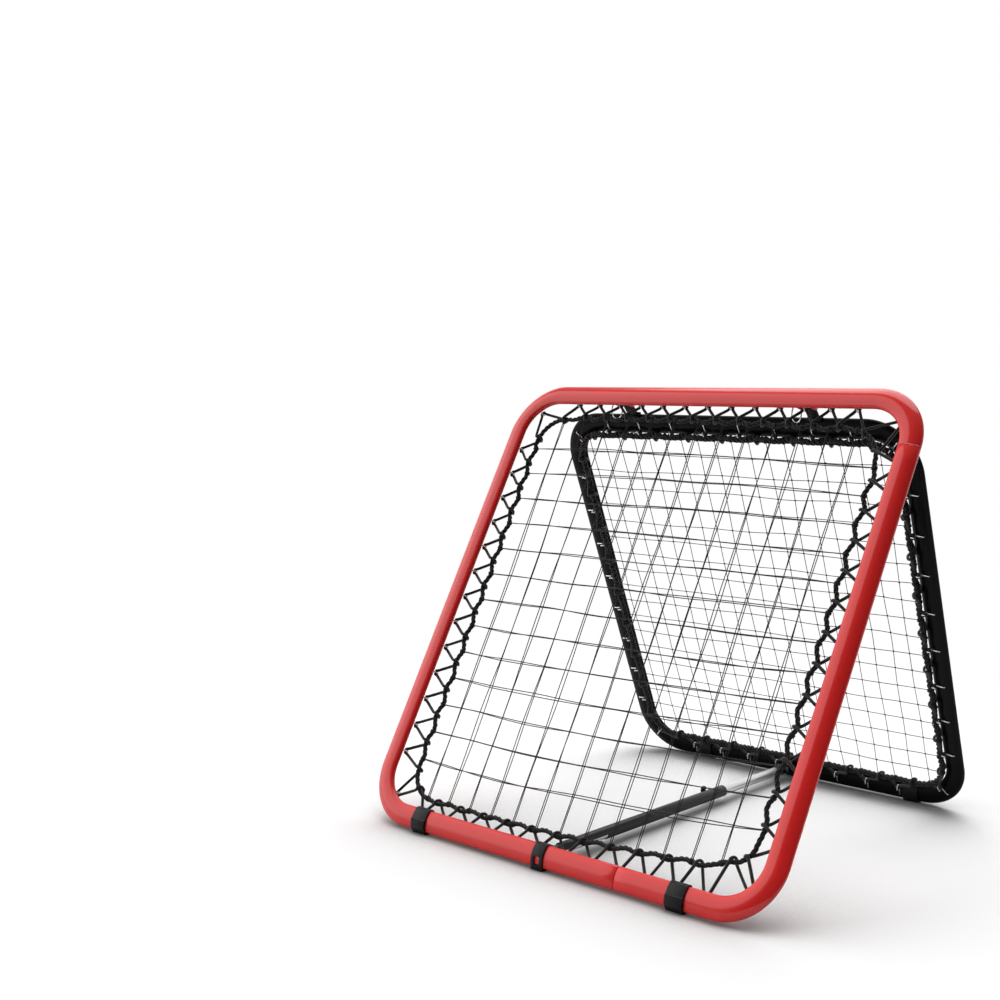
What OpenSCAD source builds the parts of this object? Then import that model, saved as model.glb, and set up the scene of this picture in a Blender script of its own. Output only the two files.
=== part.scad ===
/* [Front frame] */
// Width between the centrelines of the side runs
front_width = 956; // [700:1:1300]
// Height between the centrelines of the top and bottom runs
front_height = 964; // [700:1:1300]
// Bend radius of the tube's centreline
front_bend = 95; // [60:1:160]
// Distance of the seam on the bottom run from the middle
front_seam = 174; // [100:1:300]

/* [Back frame] */
// Width between the centrelines of the side runs
back_width = 838; // [600:1:1200]
// Height between the centrelines of the top and bottom runs
back_height = 857; // [600:1:1200]
// Bend radius of the tube's centreline
back_bend = 88; // [60:1:160]
// Distance of the seam on the bottom run from the middle
back_seam = 150; // [100:1:300]
// Distance between the two bottom runs along the floor
spread = 867; // [700:1:1000]

/* [Tube] */
// Width of the oval tube in the frame's plane
tube_width = 44; // [30:0.5:60]
// Thickness of the oval tube
tube_depth = 20; // [12:0.5:30]
// Radius of the oval's narrow ends
tube_end = 6; // [3:0.5:9]
// Wall of the tube
tube_wall = 1.6; // [1:0.1:3]
// Turn of the oval out of the frame's plane
tube_turn = 8.5; // [0:0.5:15]
// Height of the bottom runs' centrelines over the floor
sole_height = 25; // [20:0.5:40]
// Length of a joining spigot
spigot_length = 90; // [40:1:160]

/* [Hinges] */
// Distance of each hinge from the middle
hinge_x = 225; // [120:1:350]
// Distance of the pivot behind the front frame's plane
pivot_back = 25; // [20:0.5:40]
// Distance of the pivot above the back frame's top run, along the frame
arm_up = 55.63; // [40:0.01:70]
// Distance of the pivot in front of the back frame's plane
arm_in = 19.86; // [14:0.01:30]
// Width of a hinge arm
arm_width = 24; // [12:0.5:40]
// Thickness of an arm's strap
arm_strap = 5; // [3:0.5:8]
// Radius of the rolled barrel
barrel_r = 9; // [7:0.5:12]
// Radius of the hinge pin
pin_r = 4; // [3:0.5:6]
// Thickness of an ear
ear_plate = 5; // [3:0.5:8]
// Radius of a split ring
ring_r = 17; // [12:0.5:25]
// Radius of a split ring's wire
ring_wire = 1.2; // [0.8:0.1:2]

/* [Front net] */
// Distance of the border rope from the bottom run at its start, middle and end
front_rope_bottom = [82, 46, 48]; // [34:1:90]
// Distance from the side run without a seam at its start, middle and end
front_rope_plain = [68, 60, 48]; // [34:1:90]
// Distance from the top run at its start, middle and end
front_rope_top = [50, 46, 64]; // [34:1:90]
// Distance from the side run with the seam at its start, middle and end
front_rope_seam = [66, 60, 58]; // [34:1:90]
// Corner radii of the border rope
front_rope_corners = [66, 62, 70, 42]; // [20:1:80]
// Strings across and up
front_strings = 13; // [7:1:17]
// Distance between strings
front_mesh = 60; // [40:1:90]
// Wire hooks on the sides and the top
front_hooks = 13; // [7:1:17]
// Distance between the hooks on the sides
front_pitch = 59; // [40:1:90]
// Distance between the hooks on the top, clear of the hinge ears
front_top_pitch = 57; // [40:1:90]
// Wire hooks on the bottom, an even number to clear the clip
front_low_hooks = 12; // [6:2:16]
// Distance between the bottom hooks
front_low_pitch = 64; // [40:1:90]

/* [Back net] */
// Distance of the border rope from the bottom run
back_rope_bottom = 37; // [34:1:70]
// Distance of the border rope from the other runs
back_rope_side = 27; // [24:1:70]
// Corner radius of the border rope
back_rope_bend = 60; // [20:1:80]
// Strings across and up
back_strings = 16; // [8:1:16]
// Distance between strings
back_mesh = 45.5; // [30:0.5:60]
// Wire hooks on each side
back_hooks = 8; // [6:1:14]
// Distance between the hooks on the sides and the top
back_pitch = 86; // [50:1:120]
// Distance between the bottom hooks
back_low_pitch = 80; // [50:1:120]

/* [Cords] */
// Radius of the border rope
rope_r = 6; // [3:0.5:9]
// Depth of the front border rope's waves
rope_wave = 5; // [0:0.5:6]
// Depth of the back border rope's waves
back_wave = 1.5; // [0:0.5:3]
// Radius of the elastic lacing
lace_r = 3.2; // [2:0.1:5]
// Width of a net string
string_w = 2; // [1:0.1:4]
// Radius of a hook's wire
hook_wire = 1.5; // [1:0.1:2.5]

/* [Strut] */
// Outer radius of the black tube
outer_r = 12.5; // [10:0.5:16]
// Outer radius of the silver tube
inner_r = 10.42; // [8:0.02:14]
// Wall of the silver tube
inner_wall = 1.5; // [1:0.1:3]
// Distance of the strut's pins from the bottom runs
lug_reach = 38; // [30:1:60]
// End of the black tube from the front pin
outer_end = 542; // [450:1:620]
// Length of the black tube's cut-away part
tongue = 142; // [80:1:200]
// Start of the silver tube from the front pin
inner_start = 40; // [38:1:120]
// Distance of the silver tube's first hole from its end
hole_start = 64; // [30:1:90]
// Distance between the silver tube's holes
hole_pitch = 50; // [30:1:80]
// Position of the plunger from the front pin
plunger_at = 520; // [440:1:600]

/* [Feet and clips] */
// Distance of the front feet from the side runs, moved to the next gap between hooks
front_foot_in = 158; // [130:1:200]
// Distance of the back feet from the side runs, moved to the next gap between hooks
back_foot_in = 130; // [110:1:180]
// Offset of both front feet in their gaps
front_foot_off = -10.5; // [-11:0.5:11]
// Offset of both back feet in their gaps
back_foot_off = -16; // [-18:0.5:18]
// Offset of the strut and its clips from the middle
strut_off = -8; // [-8:1:8]
// Length of a foot
foot_length = 38; // [25:1:38]
// Wall of a foot
foot_wall = 3; // [2:0.5:5]
// Length of a strut clip
clip_length = 28; // [24:1:31]

/* [Hidden] */
$fn = 96;
front_y = -spread / 2 + 1.1;
back_y = front_y + spread;
big_r = ((tube_width / 2 - tube_end) ^ 2 + (tube_depth / 2) ^ 2 - tube_end ^ 2)
        / (tube_depth - 2 * tube_end);
front_arm = sqrt(front_height ^ 2 + pivot_back ^ 2);
back_arm = sqrt((back_height + arm_up) ^ 2 + arm_in ^ 2);
front_lean = 90 - acos((front_arm ^ 2 + spread ^ 2 - back_arm ^ 2) / (2 * front_arm * spread))
    - atan2(pivot_back, front_height);
back_lean = 90 - acos((back_arm ^ 2 + spread ^ 2 - front_arm ^ 2) / (2 * back_arm * spread))
    - atan2(arm_in, back_height + arm_up);
pivot_y = front_y + front_height * sin(front_lean) + pivot_back * cos(front_lean);
pivot_z = sole_height + front_height * cos(front_lean) - pivot_back * sin(front_lean);
function hook_gap(x, count, pitch) =
    pitch * (round(x / pitch + (count % 2) / 2) - (count % 2) / 2);
front_foot_x = hook_gap(front_width / 2 - front_foot_in, front_low_hooks, front_low_pitch);
back_foot_x = hook_gap(back_width / 2 - back_foot_in, back_hooks, back_low_pitch);
strut_length = spread - 2 * lug_reach;
bore_r = inner_r + 0.08;
hook_s = -12;
hook_bend = lace_r + 0.3 + hook_wire;
hook_n = tube_depth / 2 + 0.1 + hook_wire + hook_bend;
apex_in = -(hook_s * cos(tube_turn) - hook_n * sin(tube_turn));
lace_z = hook_s * sin(tube_turn) + hook_n * cos(tube_turn);
ear_gap = arm_width / 2 + 0.5;
side_angle = [-90, 0, 90, 180];

// Places: y runs up the frame and z points into the space between the two frames
module in_front() translate([0, front_y, sole_height])
    rotate([90 - front_lean, 0, 0]) rotate([0, 180, 0]) children();
module in_back() translate([0, back_y, sole_height])
    rotate([90 + back_lean, 0, 0]) children();
module on_strut() translate([strut_off, front_y + lug_reach, sole_height])
    rotate([-90, 0, 0]) children();

// Oval tube section, x pointing out of the frame, y into the space between the frames
module oval(grow) rotate(tube_turn) {
    reach = (tube_width / 2 - tube_end) * (big_r + grow) / (big_r - tube_end);
    for (s = [-1, 1]) translate([s * (tube_width / 2 - tube_end), 0]) circle(tube_end + grow);
    intersection() {
        translate([0, tube_depth / 2 - big_r]) circle(big_r + grow);
        translate([0, big_r - tube_depth / 2]) circle(big_r + grow);
        square([2 * reach, 4 * tube_depth], center = true);
    }
}
module tube_section() difference() {
    oval(0);
    oval(-tube_wall);
}
module spigot_section() difference() {
    oval(-tube_wall - 0.1);
    oval(-tube_wall - 1.8);
}

function side_start(w, h, r, side) =
    side == -90 ? [w / 2 - r, 0, 0] : side == 0 ? [w / 2, h - r, 0]
    : side == 90 ? [r - w / 2, h, 0] : [-w / 2, r, 0];
function bend_centre(w, h, r, turn) =
    [(turn < 45 ? 1 : -1) * (w / 2 - r), turn == 0 || turn == 90 ? h - r : r, 0];

module side_run(w, h, r, side, from, to) translate(side_start(w, h, r, side))
    rotate([90, 0, side]) translate([0, 0, from]) linear_extrude(to - from) children();
module bend_run(w, h, r, turn) translate(bend_centre(w, h, r, turn))
    rotate([0, 0, turn]) rotate_extrude(angle = 90) translate([r, 0]) children();

module main_tube(w, h, r, seam) {
    side_run(w, h, r, -90, 0, w / 2 - r + seam) tube_section();
    side_run(w, h, r, 0, 0, h - 2 * r) tube_section();
    side_run(w, h, r, 90, 0, w - 2 * r) tube_section();
    for (turn = [-90, 0, 90]) bend_run(w, h, r, turn) tube_section();
}
module side_tube(w, h, r, seam) {
    side_run(w, h, r, 180, 0, h - 2 * r) tube_section();
    side_run(w, h, r, -90, w / 2 - r + seam, w - 2 * r) tube_section();
    bend_run(w, h, r, 180) tube_section();
}
module spigot_at(w, h, r, side, at) side_run(w, h, r, side, at - spigot_length / 2,
    at + spigot_length / 2) spigot_section();

// Cord made of straight pieces with a ring of points at every corner
function unit(v) = v / norm(v);
function heading(p, i) =
    unit(unit(p[(i + 1) % len(p)] - p[i]) + unit(p[i] - p[(i + len(p) - 1) % len(p)]));
function cord_ring(c, t, r, n) =
    let (u = unit(cross([0.53, 0.6, 0.6], t)), v = cross(t, u))
    [for (k = [0 : n - 1]) c + r * cos(360 * k / n) * u + r * sin(360 * k / n) * v];
module closed_cord(p, r, n) {
    m = len(p);
    rings = [for (i = [0 : m - 1]) each cord_ring(p[i], heading(p, i), r, n)];
    faces = [for (i = [0 : m - 1], k = [0 : n - 1])
        let (a = i * n + k, b = i * n + (k + 1) % n, j = (i + 1) % m,
             c = j * n + (k + 1) % n, d = j * n + k)
        each [[a, d, c], [a, c, b]]];
    polyhedron(rings, faces);
}

// Points round a frame, measured along each side from its middle and in from its tube
function side_point(w, h, s, along, inset, z) =
    let (a = side_angle[s], half = s % 2 == 0 ? h / 2 : w / 2)
    [cos(a) * (half - inset) - sin(a) * along, h / 2 + sin(a) * (half - inset) + cos(a) * along, z];
// A lay is a rope's width, height, insets, corner radii, hook counts, pitches and wave
function half_side(lay, s) = lay[s % 2] / 2;
function run_end(lay, s) = half_side(lay, s) - lay[2][(s + 1) % 4][0] - lay[3][s];
function run_start(lay, s) = half_side(lay, s) - lay[2][(s + 3) % 4][2] - lay[3][(s + 3) % 4];
function straight_inset(lay, s, along) =
    let (v = lay[2][s], t = along / half_side(lay, s))
    v[1] + (v[2] - v[0]) / 2 * t + ((v[0] + v[2]) / 2 - v[1]) * t * t;
function arc_drop(bend, over) = over > 0 ? bend - sqrt(max(0, bend * bend - over * over)) : 0;
function rope_inset(lay, s, along) = straight_inset(lay, s, along)
    + arc_drop(lay[3][s], along - run_end(lay, s))
    + arc_drop(lay[3][(s + 3) % 4], -along - run_start(lay, s));
function rope_route(lay) = [for (s = [0 : 3])
    let (count = lay[4][s], pitch = lay[5][s], bend = lay[3][s], end = run_end(lay, s),
         c = side_point(lay[0], lay[1], s, end, straight_inset(lay, s, end) + bend, lace_z))
    each concat(
        [for (j = [0 : 2 * count]) let (along = (j - count) * pitch / 2)
            if (along > 12 - run_start(lay, s) && along < end - 12)
            side_point(lay[0], lay[1], s, along,
                straight_inset(lay, s, along) + (j % 2 == 0 ? -lay[6] : lay[6]), lace_z)],
        [for (k = [0 : 4]) let (a = side_angle[s] + k * 22.5) c + bend * [cos(a), sin(a), 0]])];
function contact(lay, s, along) =
    let (inset = rope_inset(lay, s, along) - lay[6] + rope_r + lace_r - 1.2)
    [side_point(lay[0], lay[1], s, along - 3, inset, lace_z + 8.5),
     side_point(lay[0], lay[1], s, along + 3, inset, lace_z - 8.5)];
function lace_route(lay, bend) = [for (s = [0 : 3])
    let (count = lay[4][s], pitch = lay[5][s], corner = side_angle[s] + 45,
         c = bend_centre(lay[0], lay[1], bend, side_angle[s]),
         out = [cos(corner), sin(corner), 0], tan = [-sin(corner), cos(corner), 0],
         tip = c + (bend - apex_in) * out + [0, 0, lace_z])
    each concat(
        [for (j = [0 : count - 1]) let (along = (j - (count - 1) / 2) * pitch)
            each concat(contact(lay, s, along - pitch / 2),
                [side_point(lay[0], lay[1], s, along - hook_bend + 0.1, apex_in, lace_z),
                 side_point(lay[0], lay[1], s, along + hook_bend - 0.1, apex_in, lace_z)])],
        contact(lay, s, count * pitch / 2),
        [tip - (hook_bend - 0.1) * tan, tip + (hook_bend - 0.1) * tan])];

// Wire hook, x pointing out of the frame, y into the space between the frames
module hook() rotate([0, 0, tube_turn]) {
    reach = tube_depth / 2 + 0.1 + hook_wire;
    translate([9, reach, 0]) sphere(hook_wire, $fn = 24);
    translate([9, reach, 0]) rotate([90, 0, 0]) cylinder(h = 3.6, r = hook_wire);
    translate([9, reach, 0]) rotate([0, -90, 0]) cylinder(h = 9 - hook_s, r = hook_wire);
    translate([hook_s, reach + hook_bend, 0]) rotate([0, 0, 90])
        rotate_extrude(angle = 180) translate([hook_bend, 0]) circle(hook_wire);
    translate([hook_s, reach + 2 * hook_bend, 0]) rotate([0, 90, 0])
        cylinder(h = 5, r = hook_wire);
}
module hooks(lay, bend) {
    for (s = [0 : 3]) {
        for (j = [0 : lay[4][s] - 1])
            translate(side_point(lay[0], lay[1], s, (j - (lay[4][s] - 1) / 2) * lay[5][s], 0, 0))
                rotate([90, 0, side_angle[s]]) hook();
        translate(bend_centre(lay[0], lay[1], bend, side_angle[s]))
            rotate([0, 0, side_angle[s] + 45]) translate([bend, 0, 0]) rotate([90, 0, 0]) hook();
    }
}

// Flat net whose strings end in the rope
module net(lay, count, mesh, wide, dx, dy) {
    mid = (lay[1] - lay[2][2][1] + lay[2][0][1]) / 2;
    side = (lay[2][3][1] - lay[2][1][1]) / 2;
    intersection() {
        polygon([for (p = rope_route(lay)) [p[0], p[1]]]);
        union() for (k = [0 : count - 1]) {
            at = (k - (count - 1) / 2) * mesh;
            translate([side + at + dx - wide / 2, 0]) square([wide, lay[1]]);
            translate([-lay[0] / 2, mid + at + dy - wide / 2]) square([lay[0], wide]);
        }
    }
}

front_lay = [front_width, front_height,
    [front_rope_bottom, front_rope_plain, front_rope_top, front_rope_seam], front_rope_corners,
    [front_low_hooks, front_hooks, front_hooks, front_hooks],
    [front_low_pitch, front_pitch, front_top_pitch, front_pitch], rope_wave];
back_lay = [back_width, back_height,
    [for (v = [back_rope_bottom, back_rope_side, back_rope_side, back_rope_side]) [v, v, v]],
    [for (s = side_angle) back_rope_bend], [for (s = side_angle) back_hooks],
    [back_low_pitch, back_pitch, back_pitch, back_pitch], back_wave];

// Foot and clip sections stand in the upright plane, x to the back, y up
module upright_oval(grow, lean) rotate(-90 - lean + tube_turn) rotate(-tube_turn) oval(grow);
module foot_section(lean) difference() {
    union() {
        upright_oval(foot_wall, lean);
        polygon([[-11, -sole_height], [0, -sole_height], [4, -18], [-12, -18]]);
        rotate(-90 - lean + tube_turn) for (k = [0 : 4])
            translate([0, big_r - tube_depth / 2]) rotate(2 + 5 * k)
                translate([0, -big_r - foot_wall - 0.3]) circle(1.8, $fn = 24);
    }
    upright_oval(0, lean);
    translate([-60, -sole_height - 20]) square([120, 20]);
}
module foot(lean) rotate([90, 0, 90]) translate([0, 0, -foot_length / 2])
    linear_extrude(foot_length) foot_section(lean);
module clip_band(lean) difference() {
    union() {
        upright_oval(foot_wall, lean);
        polygon([[-14, -sole_height], [2, -sole_height], [6, -18], [-13, -16]]);
    }
    upright_oval(0, lean);
    translate([-60, -sole_height - 20]) square([120, 20]);
}
module clip_lug(lean) difference() {
    union() {
        translate([lug_reach, 0]) circle(9);
        polygon([[0, -14], [lug_reach, -9], [lug_reach, 9], [8, 16]]);
    }
    upright_oval(0, lean);
    translate([lug_reach, 0]) circle(3.05);
}
module clip(lean) {
    difference() {
        rotate([90, 0, 90]) translate([0, 0, -clip_length / 2])
            linear_extrude(clip_length) clip_band(lean);
        rotate([lean - tube_turn, 0, 0]) translate([0, -13, -1])
            cube([13, 16, 15], center = true);
    }
    for (s = [-1, 1]) rotate([90, 0, 90]) translate([0, 0, s * 7.3 - 2])
        linear_extrude(4) clip_lug(lean);
}
module clip_pin() rotate([0, 90, 0]) {
    translate([0, 0, -11]) cylinder(h = 20.3, r = 3);
    translate([0, 0, 9.3]) cylinder(h = 2.2, r = 5);
    translate([0, 0, -11.5]) cylinder(h = 2.2, r = 4.4);
}

module ears(x) in_front() for (s = [-1, 1])
    translate([-x + s * (ear_gap + ear_plate / 2), front_height, 0]) rotate([90, 0, 90])
        translate([0, 0, -ear_plate / 2]) linear_extrude(ear_plate) difference() {
            union() {
                translate([0, pivot_back]) circle(10);
                polygon([[-17, 2], [17, 6], [9.4, pivot_back + 3], [-9.4, pivot_back + 3]]);
            }
            oval(0);
            translate([0, pivot_back]) circle(pin_r + 0.02);
        }
module arm(x) in_back() translate([x, back_height, 0]) rotate([90, 0, 90]) {
    turn = atan2(arm_in - 6.5, arm_up - 18);
    translate([0, 0, -arm_width / 2]) linear_extrude(arm_width) difference() {
        union() {
            translate([arm_up, arm_in]) circle(barrel_r);
            translate([18, 6.5]) rotate(turn) translate([-8, -arm_strap / 2])
                square([42, arm_strap]);
        }
        translate([arm_up, arm_in]) circle(pin_r + 0.06);
        oval(0);
    }
    translate([0, 0, -arm_width / 2 - 4]) linear_extrude(arm_width + 8) difference() {
        union() {
            translate([20.5, 9.5]) circle(3.6);
            translate([24.5, 4.5]) circle(3.2);
        }
        oval(0);
    }
}
module hinge_pin(x) translate([x, pivot_y, pivot_z]) difference() {
    rotate([0, 90, 0]) {
        translate([0, 0, -32]) cylinder(h = 32 + ear_gap + ear_plate, r = pin_r);
        translate([0, 0, ear_gap + ear_plate]) cylinder(h = 3, r = 7);
    }
    translate([-26, 0, 0]) rotate([90, 0, 0]) cylinder(h = 20, r = 2, center = true);
}
module pin_ring(x) translate([x - 26, pivot_y, pivot_z - ring_r - 0.28]) rotate([0, 90, 0])
    rotate_extrude() translate([ring_r, 0]) circle(ring_wire);

steel = [0.62, 0.63, 0.65];
black = [0.03, 0.03, 0.03];
red = [0.72, 0.05, 0.06];
silver = [0.75, 0.76, 0.78];
plastic = [0.05, 0.05, 0.055];
cord = [0.02, 0.02, 0.02];

module front_frame_main_tube() color(red) in_front()
    main_tube(front_width, front_height, front_bend, front_seam);
module front_frame_side_tube() color(red) in_front()
    side_tube(front_width, front_height, front_bend, front_seam);
module front_spigot_side() color(steel) in_front()
    spigot_at(front_width, front_height, front_bend, 180, front_height - 2 * front_bend
        - spigot_length / 2);
module front_spigot_bottom() color(steel) in_front()
    spigot_at(front_width, front_height, front_bend, -90, front_width / 2 - front_bend
        + front_seam);
module back_frame_main_tube() color(black) in_back()
    main_tube(back_width, back_height, back_bend, back_seam);
module back_frame_side_tube() color(black) in_back()
    side_tube(back_width, back_height, back_bend, back_seam);
module back_spigot_side() color(steel) in_back()
    spigot_at(back_width, back_height, back_bend, 180, back_height - 2 * back_bend
        - spigot_length / 2);
module back_spigot_bottom() color(steel) in_back()
    spigot_at(back_width, back_height, back_bend, -90, back_width / 2 - back_bend
        + back_seam);

module hinge_ears_left() color(red) ears(-hinge_x);
module hinge_ears_right() color(red) ears(hinge_x);
module hinge_arm_left() color(black) arm(-hinge_x);
module hinge_arm_right() color(black) arm(hinge_x);
module hinge_pin_left() color(silver) hinge_pin(-hinge_x);
module hinge_pin_right() color(silver) hinge_pin(hinge_x);
module pin_ring_left() color(silver) pin_ring(-hinge_x);
module pin_ring_right() color(silver) pin_ring(hinge_x);

module front_net_outer_layer() color(cord) in_front() translate([0, 0, lace_z - 2.2])
    linear_extrude(string_w) net(front_lay, front_strings, front_mesh, string_w, 1.6, -1.4);
module front_net_inner_layer() color(cord) in_front() translate([0, 0, lace_z + 0.2])
    linear_extrude(string_w) net(front_lay, front_strings, front_mesh, string_w, -1.6, 1.4);
module front_border_rope() color(cord) in_front() closed_cord(rope_route(front_lay), rope_r, 8);
module front_lacing_cord() color(cord) in_front()
    closed_cord(lace_route(front_lay, front_bend), lace_r, 8);
module front_wire_hooks() color(silver) in_front() hooks(front_lay, front_bend);
module back_net() color(cord) in_back() translate([0, 0, lace_z - 1])
    linear_extrude(string_w) net(back_lay, back_strings, back_mesh, 1.8, 0, 0);
module back_border_rope() color(cord) in_back() closed_cord(rope_route(back_lay), rope_r, 8);
module back_lacing_cord() color(cord) in_back()
    closed_cord(lace_route(back_lay, back_bend), lace_r, 8);
module back_wire_hooks() color(silver) in_back() hooks(back_lay, back_bend);

module front_foot_left() color(plastic) translate([front_foot_off - front_foot_x, front_y, sole_height])
    foot(front_lean);
module front_foot_right() color(plastic) translate([front_foot_off + front_foot_x, front_y, sole_height])
    foot(front_lean);
module back_foot_left() color(plastic)
    translate([back_foot_off - back_foot_x + back_low_pitch, back_y, sole_height])
    mirror([0, 1, 0]) foot(back_lean);
module back_foot_right() color(plastic)
    translate([back_foot_off + back_foot_x, back_y, sole_height])
    mirror([0, 1, 0]) foot(back_lean);
module front_strut_clip() color(plastic) translate([strut_off, front_y, sole_height])
    clip(front_lean);
module back_strut_clip() color(plastic) translate([strut_off, back_y, sole_height])
    mirror([0, 1, 0]) clip(back_lean);
module front_clip_pin() color(silver) on_strut() clip_pin();
module back_clip_pin() color(silver) on_strut() translate([0, 0, strut_length]) clip_pin();

module strut_outer_tube() color(black) on_strut() difference() {
    translate([0, 0, 12]) cylinder(h = outer_end - 12, r = outer_r);
    translate([0, 0, 11]) cylinder(h = outer_end, r = bore_r);
    translate([-20, 0, 0]) cube([40, 20, tongue]);
    translate([0, 0, plunger_at]) rotate([0, -90, 0]) cylinder(h = 20, r = 3.4);
}
module strut_outer_end_fitting() color(plastic) on_strut() difference() {
    union() {
        rotate([0, 90, 0]) cylinder(h = 10, r = 9, center = true);
        translate([-5, -9, 0]) cube([10, 18, 16]);
        intersection() {
            translate([0, 0, 12]) cylinder(h = 18, r = bore_r - 0.02);
            translate([-20, -20, 12]) cube([40, 22, 18]);
        }
    }
    rotate([0, 90, 0]) cylinder(h = 20, r = 3.06, center = true);
}
module strut_inner_tube() color(silver) on_strut() difference() {
    translate([0, 0, inner_start])
        cylinder(h = strut_length - 38 - inner_start, r = inner_r);
    translate([0, 0, inner_start - 1]) cylinder(h = strut_length, r = inner_r - inner_wall);
    for (k = [0 : floor((strut_length - 38 - inner_start - 2 * hole_start) / hole_pitch)])
        translate([0, 0, inner_start + hole_start + hole_pitch * k])
            rotate([0, -90, 0]) cylinder(h = 20, r = 3.2);
}
module strut_inner_end_fitting() color(plastic) on_strut()
    translate([0, 0, strut_length]) difference() {
        union() {
            rotate([0, 90, 0]) cylinder(h = 10, r = 11, center = true);
            translate([-5, -11, -24]) cube([10, 22, 24]);
            translate([0, 0, -38]) cylinder(h = 22, r = inner_r + 1.6);
            translate([0, 0, -56]) cylinder(h = 18, r = inner_r - inner_wall - 0.02);
        }
        rotate([0, 90, 0]) cylinder(h = 20, r = 5.2, center = true);
    }

module plunger_boss() color(plastic) on_strut() translate([0, 0, plunger_at])
    rotate([0, -90, 0]) difference() {
        translate([0, 0, 8]) cylinder(h = 12, r = 7.5);
        cylinder(h = 40, r = 3.4);
        rotate([0, 90, 0]) cylinder(h = 40, r = outer_r, center = true);
    }
module plunger_pin() color(silver) on_strut() translate([0, 0, plunger_at])
    rotate([0, -90, 0]) translate([0, 0, 10.8]) cylinder(h = 17.2, r = 3.34);
module plunger_knob() color(plastic) on_strut() translate([0, 0, plunger_at])
    rotate([0, -90, 0]) {
        translate([0, 0, 28]) cylinder(h = 4, r = 5);
        translate([0, 0, 32]) cylinder(h = 6, r = 8.5);
    }

front_frame_main_tube();
front_frame_side_tube();
front_spigot_side();
front_spigot_bottom();
back_frame_main_tube();
back_frame_side_tube();
back_spigot_side();
back_spigot_bottom();
hinge_ears_left();
hinge_ears_right();
hinge_arm_left();
hinge_arm_right();
hinge_pin_left();
hinge_pin_right();
pin_ring_left();
pin_ring_right();
front_net_outer_layer();
front_net_inner_layer();
front_border_rope();
front_lacing_cord();
front_wire_hooks();
back_net();
back_border_rope();
back_lacing_cord();
back_wire_hooks();
front_foot_left();
front_foot_right();
back_foot_left();
back_foot_right();
front_strut_clip();
back_strut_clip();
front_clip_pin();
back_clip_pin();
strut_outer_tube();
strut_outer_end_fitting();
strut_inner_tube();
strut_inner_end_fitting();
plunger_boss();
plunger_pin();
plunger_knob();
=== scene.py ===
import math
import bmesh
import bpy
from mathutils import Matrix, Vector, noise


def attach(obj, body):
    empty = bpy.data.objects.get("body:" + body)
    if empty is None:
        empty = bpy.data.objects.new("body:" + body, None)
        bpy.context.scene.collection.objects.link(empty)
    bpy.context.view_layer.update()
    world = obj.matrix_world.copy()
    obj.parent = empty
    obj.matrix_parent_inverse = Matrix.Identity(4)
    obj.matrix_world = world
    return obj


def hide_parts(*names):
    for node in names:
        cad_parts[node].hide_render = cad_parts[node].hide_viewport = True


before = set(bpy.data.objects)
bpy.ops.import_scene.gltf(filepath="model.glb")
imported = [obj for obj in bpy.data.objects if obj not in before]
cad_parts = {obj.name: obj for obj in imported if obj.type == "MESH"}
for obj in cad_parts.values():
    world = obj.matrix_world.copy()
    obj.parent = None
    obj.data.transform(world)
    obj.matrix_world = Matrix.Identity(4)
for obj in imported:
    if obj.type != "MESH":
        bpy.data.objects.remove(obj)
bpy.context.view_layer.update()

view = {"place": (1.56326, -2.12368, 0.82325), "turn": 37.8173, "down": 10.7845, "roll": 1.3270,
        "lens": 46.892, "shift": (-0.15627, 0.16688), "sensor": 36.0}


def inScene(name, data):
    obj = bpy.data.objects.new(name, data)
    bpy.context.scene.collection.objects.link(obj)
    return obj


def leaning(columns, origin):
    m = Matrix.Identity(4)
    for c, column in enumerate(columns):
        for r in range(3):
            m[r][c] = column[r]
    for r in range(3):
        m[r][3] = origin[r]
    return m


camera = inScene("camera", bpy.data.cameras.new("camera"))
yaw, pitch, roll = (math.radians(view[k]) for k in ("turn", "down", "roll"))
forward = Vector((-math.sin(yaw) * math.cos(pitch), math.cos(yaw) * math.cos(pitch), -math.sin(pitch)))
right = Vector((math.cos(yaw), math.sin(yaw), 0))
up = right.cross(forward)
right, up = right * math.cos(roll) + up * math.sin(roll), up * math.cos(roll) - right * math.sin(roll)
camera.matrix_world = leaning((right, up, -forward), view["place"])
camera.data.sensor_width, camera.data.lens = view["sensor"], view["lens"]
camera.data.shift_x, camera.data.shift_y = view["shift"]
bpy.context.scene.camera = camera
bpy.context.scene.view_settings.view_transform = "Standard"
print("camera ready")

# all lengths in metres, all angles in degrees
stand = {"frontY": -0.4324, "spread": 0.867, "sole": 0.025, "pivotBack": 0.025}
frontFrame = {"width": 0.956, "height": 0.964, "lean": 29.0, "bend": 0.095, "seam": 0.174}
backFrame = {"width": 0.838, "height": 0.857, "lean": 23.2, "bend": 0.088, "seam": 0.150}
ovalTube = {"half": 0.022, "thick": 0.010, "end": 0.006, "turn": 8.5, "wall": 0.0016, "gap": 0.0006,
            "edge": 0.0008, "tail": 0.0006, "stepAlong": 0.03, "stepBend": 3, "stepsEnd": 12, "stepsFlat": 14}


def tilt(degrees):
    return math.sin(math.radians(degrees)), math.cos(math.radians(degrees))


def heading(degrees):
    # outward and onward in the plane of a frame
    s, c = tilt(degrees)
    return Vector((c, s, 0)), Vector((-s, c, 0))


sinF, cosF = tilt(frontFrame["lean"])
sinB, cosB = tilt(backFrame["lean"])
backY = stand["frontY"] + stand["spread"]
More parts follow.
